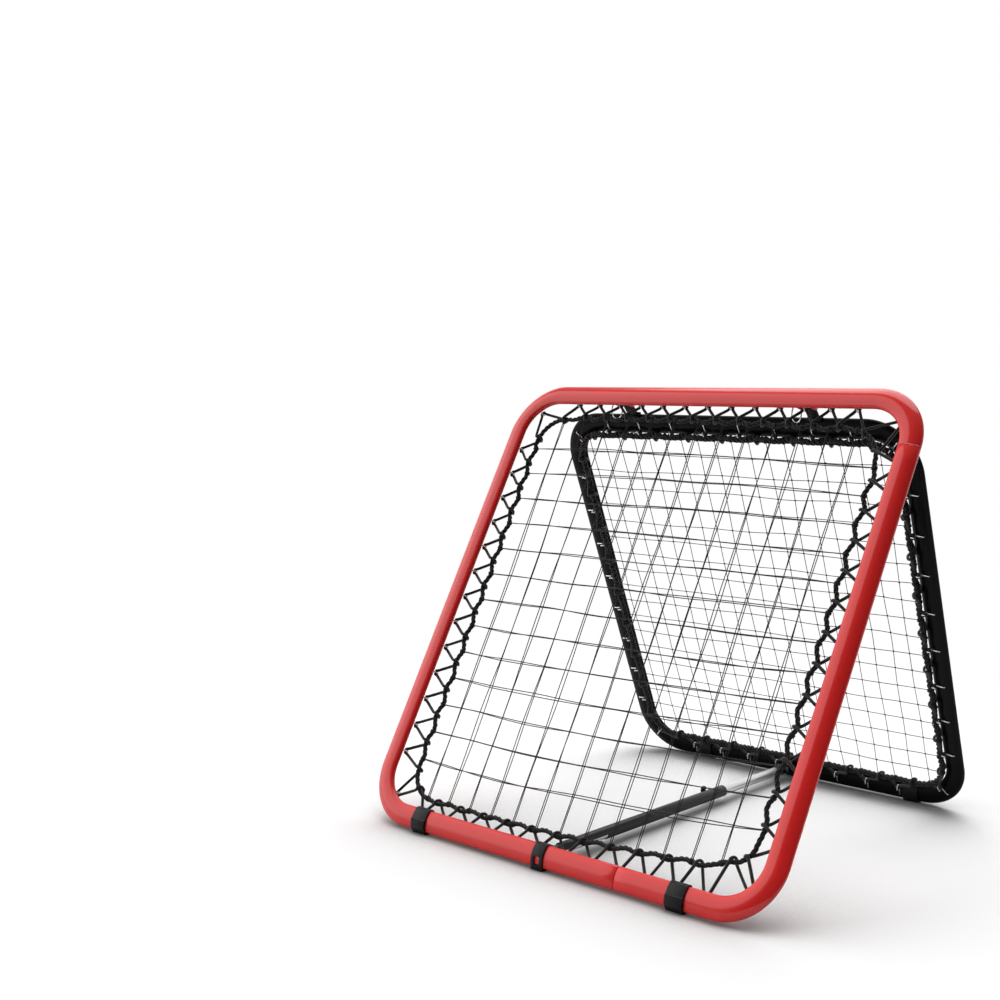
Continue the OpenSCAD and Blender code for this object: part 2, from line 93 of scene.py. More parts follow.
# x along the frame, y up the frame, z into the space between the frames
frontPlace = leaning(((-1, 0, 0), (0, sinF, cosF), (0, cosF, -sinF)), (0, stand["frontY"], stand["sole"]))
backPlace = leaning(((1, 0, 0), (0, -sinB, cosB), (0, -cosB, -sinB)), (0, backY, stand["sole"]))
pivotY = stand["frontY"] + frontFrame["height"] * sinF + stand["pivotBack"] * cosF
pivotZ = stand["sole"] + frontFrame["height"] * cosF - stand["pivotBack"] * sinF
# sides run bottom, right, top, left as seen in a frame's own plane
sideTurns = (-90, 0, 90, 180)
turnSin, turnCos = tilt(ovalTube["turn"])


def sidePoint(size, side, along, inset, z):
    s, c = tilt(sideTurns[side])
    half = (size["height"] if side % 2 == 0 else size["width"]) / 2
    return Vector((c * (half - inset) - s * along, size["height"] / 2 + s * (half - inset) + c * along, z))


def bendCentre(size, side):
    r, w, h = size["bend"], size["width"], size["height"]
    return Vector(((1 if side < 2 else -1) * (w / 2 - r), h - r if side in (1, 2) else r, 0))


def pieceFrom(name, verts, faces):
    mesh = bpy.data.meshes.new(name)
    mesh.from_pydata([tuple(v) for v in verts], [], faces)
    mesh.validate()
    mesh.polygons.foreach_set("use_smooth", [True] * len(mesh.polygons))
    mesh.update()
    return inScene(name, mesh)


def settle(obj, body, material, slotName, *nodes):
    # the piece's material, its body and the nodes it stands in for; slotName is not used
    obj.data.materials.clear()
    obj.data.materials.append(material)
    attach(obj, body)
    if nodes:
        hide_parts(*nodes)


def joined(name, parts):
    verts, faces = [], []
    for v, f in parts:
        base = len(verts)
        verts += list(v)
        faces += [tuple(i + base for i in face) for face in f]
    return pieceFrom(name, verts, faces)


def skin(rings, sides):
    # quads from ring to ring and a flat cap at each end
    faces = []
    for i in range(rings - 1):
        for k in range(sides):
            k2 = (k + 1) % sides
            faces.append((i * sides + k, i * sides + k2, (i + 1) * sides + k2, (i + 1) * sides + k))
    faces.append(tuple(range(sides - 1, -1, -1)))
    faces.append(tuple((rings - 1) * sides + k for k in range(sides)))
    return faces


roundEnd = ((0.2, 0.88), (0.5, 0.55))  # how far past the end and how thick there, in radii


def pipe(points, radius, sides):
    # rings carried along a path without twisting, with rounded ends
    last = len(points) - 1
    tangents = [(points[min(i + 1, last)] - points[max(i - 1, 0)]).normalized() for i in range(last + 1)]
    normal = tangents[0].orthogonal().normalized()
    rings = []
    for p, t in zip(points, tangents):
        normal = (normal - t * normal.dot(t)).normalized()
        rings.append((p, t, normal, radius))
    (p, t, n, _), (q, u, m, _) = rings[0], rings[-1]
    rings = [(p - t * radius * out, t, n, radius * share) for out, share in reversed(roundEnd)] + rings
    rings += [(q + u * radius * out, u, m, radius * share) for out, share in roundEnd]
    verts = []
    for p, t, n, r in rings:
        b = t.cross(n)
        for k in range(sides):
            a = 2 * math.pi * k / sides
            verts.append(p + (n * math.cos(a) + b * math.sin(a)) * r)
    return verts, skin(len(rings), sides)


def smoothRoute(points, step):
    # closed Catmull-Rom curve through the points in even steps, and its length
    count, pieces = len(points), 8
    ring = []
    for i in range(count):
        p0, p1, p2, p3 = (points[(i + k) % count] for k in (-1, 0, 1, 2))
        for k in range(pieces):
            t = k / pieces
            ring.append(0.5 * ((2 * p1) + (p2 - p0) * t + (2 * p0 - 5 * p1 + 4 * p2 - p3) * t * t
                               + (3 * p1 - p0 - 3 * p2 + p3) * t * t * t))
    ring.append(ring[0])
    lengths = [0.0]
    for a, b in zip(ring, ring[1:]):
        lengths.append(lengths[-1] + (b - a).length)
    total = lengths[-1]
    steps = round(total / step)
    out, j = [], 0
    for k in range(steps):
        at = total * k / steps
        while j < len(lengths) - 2 and lengths[j + 1] < at:
            j += 1
        span = lengths[j + 1] - lengths[j]
        out.append(ring[j].lerp(ring[j + 1], (at - lengths[j]) / span if span else 0.0))
    return out, total


def lathe(profile, sides=48):
    # profile of (radius, height) pairs round the z axis, closed at both ends
    verts = []
    for r, z in profile:
        for k in range(sides):
            a = 2 * math.pi * k / sides
            verts.append(Vector((r * math.cos(a), r * math.sin(a), z)))
    return verts, skin(len(profile), sides)


def moved(part, matrix):
    return [matrix @ v for v in part[0]], part[1]


class Wire:
    # one output of a node; arithmetic on it adds Math nodes
    def __init__(self, desk, node, out=0):
        self.desk, self.node = desk, node
        self.socket = node.outputs[out] if len(node.outputs) else None

    def maths(self, operation, *others):
        return self.desk.put("ShaderNodeMath", {"operation": operation}, dict(enumerate((self,) + others)))

    def __add__(self, o): return self.maths("ADD", o)
    def __radd__(self, o): return self.maths("ADD", o)
    def __sub__(self, o): return self.maths("SUBTRACT", o)
    def __rsub__(self, o): return self * -1.0 + o
    def __mul__(self, o): return self.maths("MULTIPLY", o)
    def __rmul__(self, o): return self.maths("MULTIPLY", o)
    def sin(self): return self.maths("SINE")
    def cos(self): return self.maths("COSINE")

    def also(self, out):
        # another output of the same node
        return Wire(self.desk, self.node, out)


class Desk:
    # a node tree with short ways to add nodes and links
    def __init__(self, tree):
        self.tree = tree

    def feed(self, node, sockets):
        for key, value in sockets.items():
            if isinstance(value, Wire):
                self.tree.links.new(value.socket, node.inputs[key])
            else:
                node.inputs[key].default_value = value

    def put(self, kind, settings=None, sockets=None, out=0):
        node = self.tree.nodes.new(kind)
        for key, value in (settings or {}).items():
            setattr(node, key, value)
        self.feed(node, sockets or {})
        return Wire(self, node, out)

    def mix(self, factor, a, b):
        return self.put("ShaderNodeMix", {"data_type": "RGBA"}, {0: factor, 6: a, 7: b}, out=2)

    def ramp(self, value, low, high):
        return self.put("ShaderNodeMapRange", {"clamp": True, "interpolation_type": "SMOOTHSTEP"},
                        {0: value, 1: low, 2: high, 3: 0.0, 4: 1.0})


class Finish(Desk):
    # one material with a Principled shader and object coordinates
    def __init__(self, name, **fixed):
        self.material = bpy.data.materials.new(name)
        self.material.use_nodes = True
        super().__init__(self.material.node_tree)
        self.tree.nodes.clear()
        self.shader = self.put("ShaderNodeBsdfPrincipled", None, fixed)
        self.output = self.put("ShaderNodeOutputMaterial", None, {0: self.shader})
        self.spot = self.put("ShaderNodeTexCoord", out=3)

    def noise(self, scale, detail=3.0, rough=0.55, at=None):
        return self.put("ShaderNodeTexNoise", None,
                        {"Vector": at or self.spot, "Scale": scale, "Detail": detail, "Roughness": rough})

    def stretched(self, scale):
        return self.put("ShaderNodeMapping", None, {0: self.spot, 3: scale})

    def set(self, **wires):
        self.feed(self.shader.node, {key.replace("_", " "): wire for key, wire in wires.items()})

    def bump(self, height, strength, distance):
        self.set(Normal=self.put("ShaderNodeBump", None, {"Strength": strength, "Distance": distance,
                                                          "Height": height}))


def rgb(r, g, b):
    return (r, g, b, 1.0)


def grey(value):
    return rgb(value, value, value)


def coatedSteel(name, deep, light, rough, coat, peel):
    f = Finish(name, **{"Coat Weight": coat, "Coat Roughness": 0.05, "Specular IOR Level": 0.05})
    broad = f.noise(7.0, 2.0)
    fine = f.noise(420.0, 2.0)
    scuff = f.ramp(f.noise(1.0, 4.0, 0.65, f.stretched((30.0, 30.0, 160.0))), 0.60, 0.78)
    f.set(Base_Color=f.mix(broad, deep, light))
    f.set(Roughness=fine * 0.06 + broad * 0.05 + scuff * 0.07 + (rough - 0.05))
    f.bump(fine * 0.7 + f.noise(1400.0, 1.0) * 0.3, peel, 0.0004)
    return f.material


def mouldedPlastic(name, deep, light, rough):
    f = Finish(name, **{"Specular IOR Level": 0.25})
    grain = f.noise(1500.0, 2.0)
    broad = f.noise(40.0, 3.0)
    f.set(Base_Color=f.mix(broad, deep, light), Roughness=grain * 0.12 + broad * 0.08 + (rough - 0.1))
    f.bump(grain * 0.8 + f.noise(600.0, 1.0) * 0.2, 0.25, 0.0002)
    return f.material


def bareMetal(name, deep, light, rough, grainScale):
    f = Finish(name, **{"Metallic": 1.0})
    grain = f.noise(1.0, 3.0, 0.6, f.stretched(grainScale))
    spangle = f.put("ShaderNodeTexVoronoi", {"feature": "F1"}, {"Vector": f.spot, "Scale": 500.0})
    broad = f.noise(60.0, 3.0)
    f.set(Base_Color=f.mix(broad * 0.6 + grain * 0.4, deep, light),
          Roughness=grain * 0.16 + spangle * 0.06 + (rough - 0.1))
    f.bump(grain, 0.12, 0.0002)
    return f.material


def twistedFibre(name, deep, light, scale):
    f = Finish(name, **{"Sheen Weight": 0.25, "Sheen Roughness": 0.4, "Specular IOR Level": 0.3})
    fuzz = f.noise(scale * 3.0, 3.0, 0.7)
    lines = f.noise(1.0, 2.0, 0.6, f.stretched((scale, scale, scale)))
    dust = f.noise(35.0, 3.0)
    f.set(Base_Color=f.mix(lines * 0.5 + fuzz * 0.3 + dust * 0.2, deep, light),
          Roughness=fuzz * 0.2 + 0.68)
    f.bump(lines * 0.6 + fuzz * 0.4, 0.7, 0.0006)
    return f.material


def braidedSleeve(name, deep, light, scale):
    f = Finish(name, **{"Sheen Weight": 0.2, "Specular IOR Level": 0.35})
    weave = f.put("ShaderNodeTexVoronoi", {"feature": "SMOOTH_F1"}, {"Vector": f.spot, "Scale": scale})
    fuzz = f.noise(scale * 3.0, 2.0)
    f.set(Base_Color=f.mix(weave * 0.7 + fuzz * 0.4, deep, light), Roughness=fuzz * 0.2 + 0.55)
    f.bump(fuzz * 0.3 - weave, 0.6, 0.0006)
    return f.material


redCoat = coatedSteel("redGlossCoat", rgb(0.79, 0.022, 0.020), rgb(0.89, 0.028, 0.026), 0.30, 0.75, 0.06)
blackCoat = coatedSteel("blackSatinCoat", rgb(0.003, 0.003, 0.0033), rgb(0.006, 0.006, 0.0066), 0.36, 0.06,
                        0.12)
strutCoat = coatedSteel("strutBlackCoat", rgb(0.024, 0.024, 0.025), rgb(0.036, 0.036, 0.037), 0.36, 0.25,
                        0.12)
footPlastic = mouldedPlastic("footPlastic", rgb(0.003, 0.003, 0.0033), rgb(0.007, 0.007, 0.0077), 0.45)
zincMetal = bareMetal("zincMetal", rgb(0.62, 0.63, 0.65), rgb(0.78, 0.79, 0.81), 0.30,
                      (300.0, 300.0, 300.0))
silverTube = bareMetal("silverTube", grey(0.78), grey(0.88), 0.34, (900.0, 20.0, 900.0))
plainSteel = bareMetal("plainSteel", rgb(0.40, 0.40, 0.41), rgb(0.52, 0.52, 0.53), 0.45,
                       (400.0, 400.0, 60.0))
ropeFibre = twistedFibre("ropeFibre", grey(0.005), rgb(0.016, 0.016, 0.017), 700.0)
netFibre = twistedFibre("netFibre", grey(0.008), rgb(0.024, 0.024, 0.025), 1200.0)
elasticSleeve = braidedSleeve("elasticSleeve", grey(0.004), rgb(0.014, 0.014, 0.015), 900.0)
print("materials ready")


def ovalRing(grow):
    # the tube's section: two tight ends and two flat arcs, turned a little in the frame
    half, thick, end = ovalTube["half"], ovalTube["thick"], ovalTube["end"]
    tight, flat = ovalTube["stepsEnd"], ovalTube["stepsFlat"]
    big = ((half - end) ** 2 + thick ** 2 - end ** 2) / (2 * (thick - end))
    lean = math.asin((half - end) / (big - end))
    ring = []
    for centre, radius, start, stop, steps in (
            ((half - end, 0), end, lean - math.pi / 2, math.pi / 2 - lean, tight),
            ((0, thick - big), big, math.pi / 2 - lean, math.pi / 2 + lean, flat),
            ((end - half, 0), end, math.pi / 2 + lean, 3 * math.pi / 2 - lean, tight),
            ((0, big - thick), big, 3 * math.pi / 2 - lean, 3 * math.pi / 2 + lean, flat)):
        for k in range(steps):
            a = start + (stop - start) * k / steps
            s = centre[0] + (radius + grow) * math.cos(a)
            n = centre[1] + (radius + grow) * math.sin(a)
            ring.append((s * turnCos - n * turnSin, s * turnSin + n * turnCos))
    return ring


def tubeStations(size, legs):
    # legs: ("run", side, from, to) measured along the side from its middle, or ("bend", corner)
    stations = []
    for kind, side, *rest in legs:
        if kind == "run":
            start, stop = rest
            steps = max(2, round(abs(stop - start) / ovalTube["stepAlong"]))
            for k in range(steps + 1):
                along = start + (stop - start) * k / steps
                stations.append((sidePoint(size, side, along, 0, 0), heading(sideTurns[side])[0]))
        else:
            centre = bendCentre(size, side)
            for degrees in range(ovalTube["stepBend"], 90, ovalTube["stepBend"]):
                out = heading(sideTurns[side] + degrees)[0]
                stations.append((centre + out * size["bend"], out))
    return stations


def tubeLip():
    # (depth, growth) of the rings at a cut end, from its inner rim out over the small round edge
    gap, edge = ovalTube["gap"], ovalTube["edge"]
    return (gap, -ovalTube["wall"]), (gap, -edge), (gap + edge * 0.3, -edge * 0.35), (gap + edge, 0.0)


def bentTube(name, size, place, legs):
    stations = tubeStations(size, legs)
    first, last = stations[0], stations[-1]
    onward = (stations[1][0] - first[0]).normalized()
    back = (stations[-2][0] - last[0]).normalized()
    rings = [(first[0] + onward * depth, first[1], grow) for depth, grow in tubeLip()]
    rings += [(p, out, 0.0) for p, out in stations[1:-1]]
    rings += [(last[0] + back * depth, last[1], grow) for depth, grow in reversed(tubeLip())]
    verts = []
    for p, out, grow in rings:
        for s, n in ovalRing(grow):
            verts.append(place @ (p + out * s + Vector((0, 0, n))))
    tube = pieceFrom(name, verts, skin(len(rings), len(ovalRing(0))))
    bm = bmesh.new()
    bm.from_mesh(tube.data)
    bmesh.ops.recalc_face_normals(bm, faces=bm.faces)
    bm.to_mesh(tube.data)
    bm.free()
    return tube


def longLegs(size):
    # the long tube: bottom from the seam, up the far side, over the top, to the end of the last bend
    w, h, r = size["width"] / 2, size["height"] / 2, size["bend"]
    return [("run", 0, -size["seam"], w - r), ("bend", 0), ("run", 1, r - h, h - r), ("bend", 1),
            ("run", 2, r - w, w - r), ("bend", 2), ("run", 3, r - h, r - h + ovalTube["tail"])]


def shortLegs(size):
    # the short tube: the near side, the last bend and the bottom up to the seam
    w, h, r = size["width"] / 2, size["height"] / 2, size["bend"]
    return [("run", 3, r - h, h - r), ("bend", 3), ("run", 0, r - w, -size["seam"])]


for prefix, size, place, body, coat, slotName in (
        ("front", frontFrame, frontPlace, "front_frame", redCoat, "red_coat"),
        ("back", backFrame, backPlace, "back_frame", blackCoat, "black_coat")):
    settle(bentTube(prefix + "LongTube", size, place, longLegs(size)), body, coat, slotName,
           prefix + "_frame_main_tube")
    settle(bentTube(prefix + "ShortTube", size, place, shortLegs(size)), body, coat, slotName,
           prefix + "_frame_side_tube")
print("frames ready")


def applied(name, source):
    # a plain smooth mesh of the source as its modifiers make it
    bpy.context.view_layer.update()
    mesh = bpy.data.meshes.new_from_object(source.evaluated_get(bpy.context.evaluated_depsgraph_get()))
    bpy.data.objects.remove(source)
    mesh.polygons.foreach_set("use_smooth", [True] * len(mesh.polygons))
    return inScene(name, mesh)


def modifierPiece(name, source, build, inputs):
    # builds a tree of geometry nodes with these inputs and applies it to the source
    tree = bpy.data.node_groups.new(name + "Nodes", "GeometryNodeTree")
    tree.interface.new_socket("Geometry", in_out="INPUT", socket_type="NodeSocketGeometry")
    ids = {}
    for key, (kind, value) in inputs.items():
        ids[key] = tree.interface.new_socket(key, in_out="INPUT", socket_type=kind).identifier
    tree.interface.new_socket("Geometry", in_out="OUTPUT", socket_type="NodeSocketGeometry")
    desk = Desk(tree)
    start = desk.put("NodeGroupInput")
    wires = {key: start.also(key) for key in inputs}
    result = build(desk, start.also("Geometry"), wires)
    real = desk.put("GeometryNodeRealizeInstances", None, {0: result})
    last = desk.put("GeometryNodeSetMaterial", None, {"Geometry": real, "Material": wires["Material"]})
    desk.put("NodeGroupOutput", None, {0: last})
    modifier = source.modifiers.new(name, "NODES")
    modifier.node_group = tree
    for key, (kind, value) in inputs.items():
        modifier[ids[key]] = value
    return applied(name, source)


def edgeSource(name, lines, closed):
    verts, edges = [], []
    for line in lines:
        base = len(verts)
        verts += [tuple(p) for p in line]
        edges += [(base + i, base + i + 1) for i in range(len(line) - 1)]
        if closed:
            edges.append((base + len(line) - 1, base))
    mesh = bpy.data.meshes.new(name)
    mesh.from_pydata(verts, edges, [])
    return inScene(name, mesh)


def vectors(desk, operation, sockets):
    return desk.put("ShaderNodeVectorMath", {"operation": operation}, sockets)


def strandTree(desk, geometry, wires):
    # strands laid round the path as a rope's are
    path = desk.put("GeometryNodeMeshToCurve", None, {"Mesh": geometry})
    along = desk.put("GeometryNodeSplineParameter")
    normal = desk.put("GeometryNodeInputNormal")
    tangent = desk.put("GeometryNodeInputTangent")
    side = vectors(desk, "CROSS_PRODUCT", {0: tangent, 1: normal})
    join = desk.put("GeometryNodeJoinGeometry")
    circle = desk.put("GeometryNodeCurvePrimitiveCircle", None, {"Resolution": 8, "Radius": wires["Strand"]})
    for k in range(ropeLay["strands"]):
        angle = along * wires["Turns"] * (2 * math.pi) + 2 * math.pi * k / ropeLay["strands"]
        out = vectors(desk, "SCALE", {0: normal, "Scale": angle.cos() * wires["Offset"]})
        across = vectors(desk, "SCALE", {0: side, "Scale": angle.sin() * wires["Offset"]})
        strand = desk.put("GeometryNodeSetPosition", None,
                          {"Geometry": path, "Offset": vectors(desk, "ADD", {0: out, 1: across})})
        mesh = desk.put("GeometryNodeCurveToMesh", None, {"Curve": strand, "Profile Curve": circle})
        desk.feed(join.node, {0: mesh})
    return join


def stringTree(desk, geometry, wires):
    # one round string along the path
    path = desk.put("GeometryNodeMeshToCurve", None, {"Mesh": geometry})
    circle = desk.put("GeometryNodeCurvePrimitiveCircle", None, {"Resolution": 6, "Radius": wires["Radius"]})
    return desk.put("GeometryNodeCurveToMesh", None,
                    {"Curve": path, "Profile Curve": circle, "Fill Caps": True})


def scatterTree(desk, geometry, wires):
    # the given piece at each point, turned by the point's own angles
    turn = desk.put("GeometryNodeInputNamedAttribute", {"data_type": "FLOAT_VECTOR"}, {"Name": "turn"})
    info = desk.put("GeometryNodeObjectInfo", {"transform_space": "ORIGINAL"}, {"Object": wires["Piece"]},
                    out="Geometry")
    points = desk.put("GeometryNodeMeshToPoints", None, {"Mesh": geometry, "Radius": 0.001})
    return desk.put("GeometryNodeInstanceOnPoints", None,
                    {"Points": points, "Instance": info, "Rotation": turn})


def scattered(name, part, places, material):
    seed = joined(name + "Seed", [part])
    mesh = bpy.data.meshes.new(name + "Points")
    mesh.from_pydata([tuple(m.translation) for m in places], [], [])
    turn = mesh.attributes.new("turn", "FLOAT_VECTOR", "POINT")
    for i, m in enumerate(places):
        turn.data[i].vector = tuple(m.to_euler("XYZ"))
    obj = modifierPiece(name, inScene(name + "Points", mesh), scatterTree,
                        {"Piece": ("NodeSocketObject", seed), "Material": ("NodeSocketMaterial", material)})
    bpy.data.objects.remove(seed)
    return obj


# inset is the rope's distance from the tube's middle line at the start, middle and end of each side, and
# wave is how far the rope then swings to either side of that
frontNet = {"inset": ((0.082, 0.046, 0.048), (0.068, 0.060, 0.048), (0.050, 0.046, 0.064),
                      (0.066, 0.060, 0.058)),
            "corner": (0.066, 0.062, 0.070, 0.042), "hooks": (12, 13, 13, 13),
            "pitch": (0.064, 0.059, 0.057, 0.059), "wave": (0.003, 0.005, 0.004, 0.005),
            "across": 13, "up": 13, "mesh": (0.060, 0.060),
            "string": 0.00098, "wobble": 0.0027, "rope": 0.0050}
backNet = {"inset": ((0.037,) * 3, (0.0225,) * 3, (0.0225,) * 3, (0.0225,) * 3),
           "corner": (0.060,) * 4, "hooks": (8,) * 4,
           "pitch": (0.080, 0.086, 0.086, 0.086), "wave": (0.0012,) * 4,
           "across": 18, "up": 18, "mesh": (0.0425, 0.0418),
           "string": 0.0008, "wobble": 0.0024, "rope": 0.0070}
# three strands that touch fill a circle 2.155 times their own
ropeLay = {"lay": 0.034, "strands": 3, "fill": 2.155, "step": 0.0034, "margin": 0.012, "cornerStep": 22.5}
elastic = {"radius": 0.0031, "step": 0.0022, "sunk": 0.0004, "clear": 0.0002}
wireHook = {"radius": 0.0014, "start": 0.009, "end": -0.012, "bend": 0.005, "stand": 0.0116}
hookN = wireHook["stand"] + wireHook["bend"]
apexIn = -(wireHook["end"] * turnCos - hookN * turnSin)
laceZ = wireHook["end"] * turnSin + hookN * turnCos


def halfSide(size, side):
    return (size["width"] if side % 2 == 0 else size["height"]) / 2


def straightInset(size, net, side, along):
    v, t = net["inset"][side], along / halfSide(size, side)
    return v[1] + (v[2] - v[0]) / 2 * t + ((v[0] + v[2]) / 2 - v[1]) * t * t


def ropePoints(size, net):
    # out at the lacing, in under the hooks, then round each corner
    points = []
    for side in range(4):
        count, pitch, bend = net["hooks"][side], net["pitch"][side], net["corner"][side]
        before = (side + 3) % 4
        low = halfSide(size, side) - net["inset"][before][2] - net["corner"][before]
        high = halfSide(size, side) - net["inset"][(side + 1) % 4][0] - bend
        for j in range(2 * count + 1):
            along = (j - count) * pitch / 2
            if ropeLay["margin"] - low < along < high - ropeLay["margin"]:
                wave = net["wave"][side] * (-1 if j % 2 == 0 else 1)
                inset = straightInset(size, net, side, along) + wave
                points.append(sidePoint(size, side, along, inset, laceZ))
        centre = sidePoint(size, side, high, straightInset(size, net, side, high) + bend, laceZ)
        points += [centre + heading(sideTurns[side] + ropeLay["cornerStep"] * k)[0] * bend for k in range(5)]
    return points


def crossings(route, axis, level):
    # places where the rope's line meets x or y = level, with its direction there
    found = []
    for a, b in zip(route, route[1:] + route[:1]):
        if (a[axis] - level) * (b[axis] - level) <= 0 and a[axis] != b[axis]:
            found.append((a.lerp(b, (level - a[axis]) / (b[axis] - a[axis])), (b - a).normalized()))
    return sorted(found, key=lambda hit: hit[0][1 - axis])


def ropeAt(size, route, side, along):
    spot = sidePoint(size, side, along, 0, laceZ)
    hits = crossings(route, side % 2, spot[side % 2])
    return hits[0 if side in (0, 3) else -1][0]


# along the rope as a length, then in from its middle and up as shares of the reach
wrapTurn = ((-0.0036, -0.35, 0.98), (-0.0030, 0.45, 0.89), (0, 1.0, 0.0), (0.0030, 0.45, -0.89),
            (0.0036, -0.35, -0.98))


def wrapPoints(size, net, route, side, along):
    # over the rope, round its inner edge and back under it
    out, tangent = heading(sideTurns[side])
    reach = net["rope"] + elastic["radius"] - elastic["sunk"]
    centre = ropeAt(size, route, side, along)
    return [centre + tangent * shift - out * inward * reach + Vector((0, 0, height * reach))
            for shift, inward, height in wrapTurn]


# along the side as a share of the reach and a length, then outward
hookTurn = ((-1.0, -0.0012, -0.006), (-0.9, 0, 0.001), (0.9, 0, 0.001), (1.0, 0.0012, -0.006))


def hookPoints(base, out, tangent):
    # round the bend of a wire hook
    reach = elastic["radius"] + wireHook["radius"] + elastic["clear"]
    tip = base - out * apexIn + Vector((0, 0, laceZ))
    return [tip + tangent * (share * reach + more) + out * outward for share, more, outward in hookTurn]


def hookSpots(size, net, side):
    # the hooks of one side and of the corner after it, each with the direction it points out
    count, pitch, turn = net["hooks"][side], net["pitch"][side], sideTurns[side]
    spots = [(sidePoint(size, side, (j - (count - 1) / 2) * pitch, 0, 0), turn) for j in range(count)]
    return spots + [(bendCentre(size, side) + heading(turn + 45)[0] * size["bend"], turn + 45)]


def lacePoints(size, net, route):
    points = []
    for side in range(4):
        for j, (base, turn) in enumerate(hookSpots(size, net, side)):
            along = (j - net["hooks"][side] / 2) * net["pitch"][side]
            points += wrapPoints(size, net, route, side, along)
            points += hookPoints(base, *heading(turn))
    return points


def hookPlaces(size, net, place):
    places = []
    for side in range(4):
        for spot, turn in hookSpots(size, net, side):
            away, rise = heading(turn)[0], Vector((0, 0, 1))
            out = away * turnCos + rise * turnSin
            up = rise * turnCos - away * turnSin
            places.append(place @ leaning((out, up, out.cross(up)), spot))
    return places


def hookPart():
    # up through the wall, along the tube, round the bend and a short way back
    start, end, r, reach = (wireHook[k] for k in ("start", "end", "bend", "stand"))
    points = [Vector((start + x, reach + y, 0))
              for x, y in ((0, -0.004), (0, -0.0016), (-0.0005, -0.0004), (-0.0018, 0))]
    points += [Vector((end * k / 3, reach, 0)) for k in range(3)]
    for degrees in range(-90, -271, -18):
        s, c = tilt(degrees)
        points.append(Vector((end + r * c, reach + r + r * s, 0)))
    points += [Vector((end + x, reach + 2 * r + y, 0)) for x, y in ((0.003, 0), (0.0055, 0.0006))]
    return pipe(points, wireHook["radius"], 8)


def netSpan(size, net):
    # middle of the net and half its width and height
    low, right, high, left = (inset[1] for inset in net["inset"])
    middle = (left - right) / 2, (size["height"] - high + low) / 2
    half = (size["width"] - right - left) / 2, (size["height"] - low - high) / 2
    return middle, half


def stringSpot(size, net, kind, at, t):
    # share t along the frame on the string at this distance from the net's middle;
    # kind 0 runs up the net and kind 1 across it; strings near a rope follow its line
    middle, half = netSpan(size, net)
    if kind == 0:
        y, share = t * size["height"], (at / half[0] + 1) / 2
        along = y - size["height"] / 2
        left = straightInset(size, net, 3, -along) - net["inset"][3][1]
        right = net["inset"][1][1] - straightInset(size, net, 1, along)
        return Vector((middle[0] + at + left * (1 - share) + right * share, y, 0))
    x, share = (t - 0.5) * size["width"], (at / half[1] + 1) / 2
    low = straightInset(size, net, 0, x) - net["inset"][0][1]
    high = net["inset"][2][1] - straightInset(size, net, 2, -x)
    return Vector((x, middle[1] + at + low * (1 - share) + high * share, 0))


netLay = {"pieces": 140, "halvings": 16, "settling": 3, "nearEdge": 0.01, "drift": 2.2, "held": 8,
          "fromString": 1.37, "along": 5.3, "otherWay": 11.0, "seed": (5.1, 2.7), "step": 0.008}


def stringLines(size, net, route, layer, shift, seed):
    counts = (net["across"], net["up"])

    def point(kind, k, t, hold=1.0):
        # place t of string k, drifting where hold lets it
        mesh = net["mesh"][kind]
        spot = stringSpot(size, net, kind, (k - (counts[kind] - 1) / 2) * mesh + shift[kind], t)
        spot[kind] += net["wobble"] * netLay["drift"] * hold * noise.noise(
            Vector((k * netLay["fromString"] + seed * netLay["seed"][0],
                    t * netLay["along"] + kind * netLay["otherWay"], seed * netLay["seed"][1])))
        spot.z = laceZ + layer
        return spot

    def ends(kind, k):
        # where the string meets the rope, found by halving
        out = []
        for far in (0.0, 1.0):
            inner = 0.5
            for step in range(netLay["halvings"]):
                t = (inner + far) / 2
                p = point(kind, k, t, 0.0)
                hits = crossings(route, kind, p[kind])
                inside = len(hits) > 1 and hits[0][0][1 - kind] < p[1 - kind] < hits[-1][0][1 - kind]
                inner, far = (t, far) if inside else (inner, t)
            out.append(inner)
        return out

    lines, spans, pieces = [], {}, netLay["pieces"]
    for kind in (0, 1):
        for k in range(counts[kind]):
            a, b = spans[kind, k] = ends(kind, k)
            lines.append([point(kind, k, a + (b - a) * i / pieces,
                                min(1.0, netLay["held"] * min(i, pieces - i) / pieces))
                          for i in range(pieces + 1)])
    knots, whips = [], []
    for i in range(net["across"]):
        for j in range(net["up"]):
            tx = ty = 0.5
            for step in range(netLay["settling"]):  # settles on the crossing of both strings
                up, across = point(0, i, ty), point(1, j, tx)
                tx, ty = 0.5 + up.x / size["width"], across.y / size["height"]
            if all(span[0] + netLay["nearEdge"] < t < span[1] - netLay["nearEdge"]
                   for span, t in ((spans[0, i], ty), (spans[1, j], tx))):
                knots.append(Vector((up.x, across.y, laceZ + layer)))
    for (kind, k), (a, b) in spans.items():
        for t, last in ((a, 0), (b, -1)):
            centre, way = crossings(route, kind, point(kind, k, t, 0.0)[kind])[last]
            whips.append(Matrix.Translation((centre.x, centre.y, laceZ))
                         @ Matrix.Rotation(math.atan2(way.y, way.x), 4, "Z"))
    return lines, knots, whips


def knotPart(radius):
    # a small overhand knot seen as a lumpy bead
    lumps = {"depth": 0.22, "scale": 0.8 / radius, "flat": 0.8}
    bm = bmesh.new()
    bmesh.ops.create_icosphere(bm, subdivisions=2, radius=radius)
    for v in bm.verts:
        v.co *= 1.0 + lumps["depth"] * noise.noise(v.co * lumps["scale"])
        v.co.z *= lumps["flat"]
    verts = [v.co.copy() for v in bm.verts]
    faces = [tuple(v.index for v in f.verts) for f in bm.faces]
    bm.free()
    return verts, faces


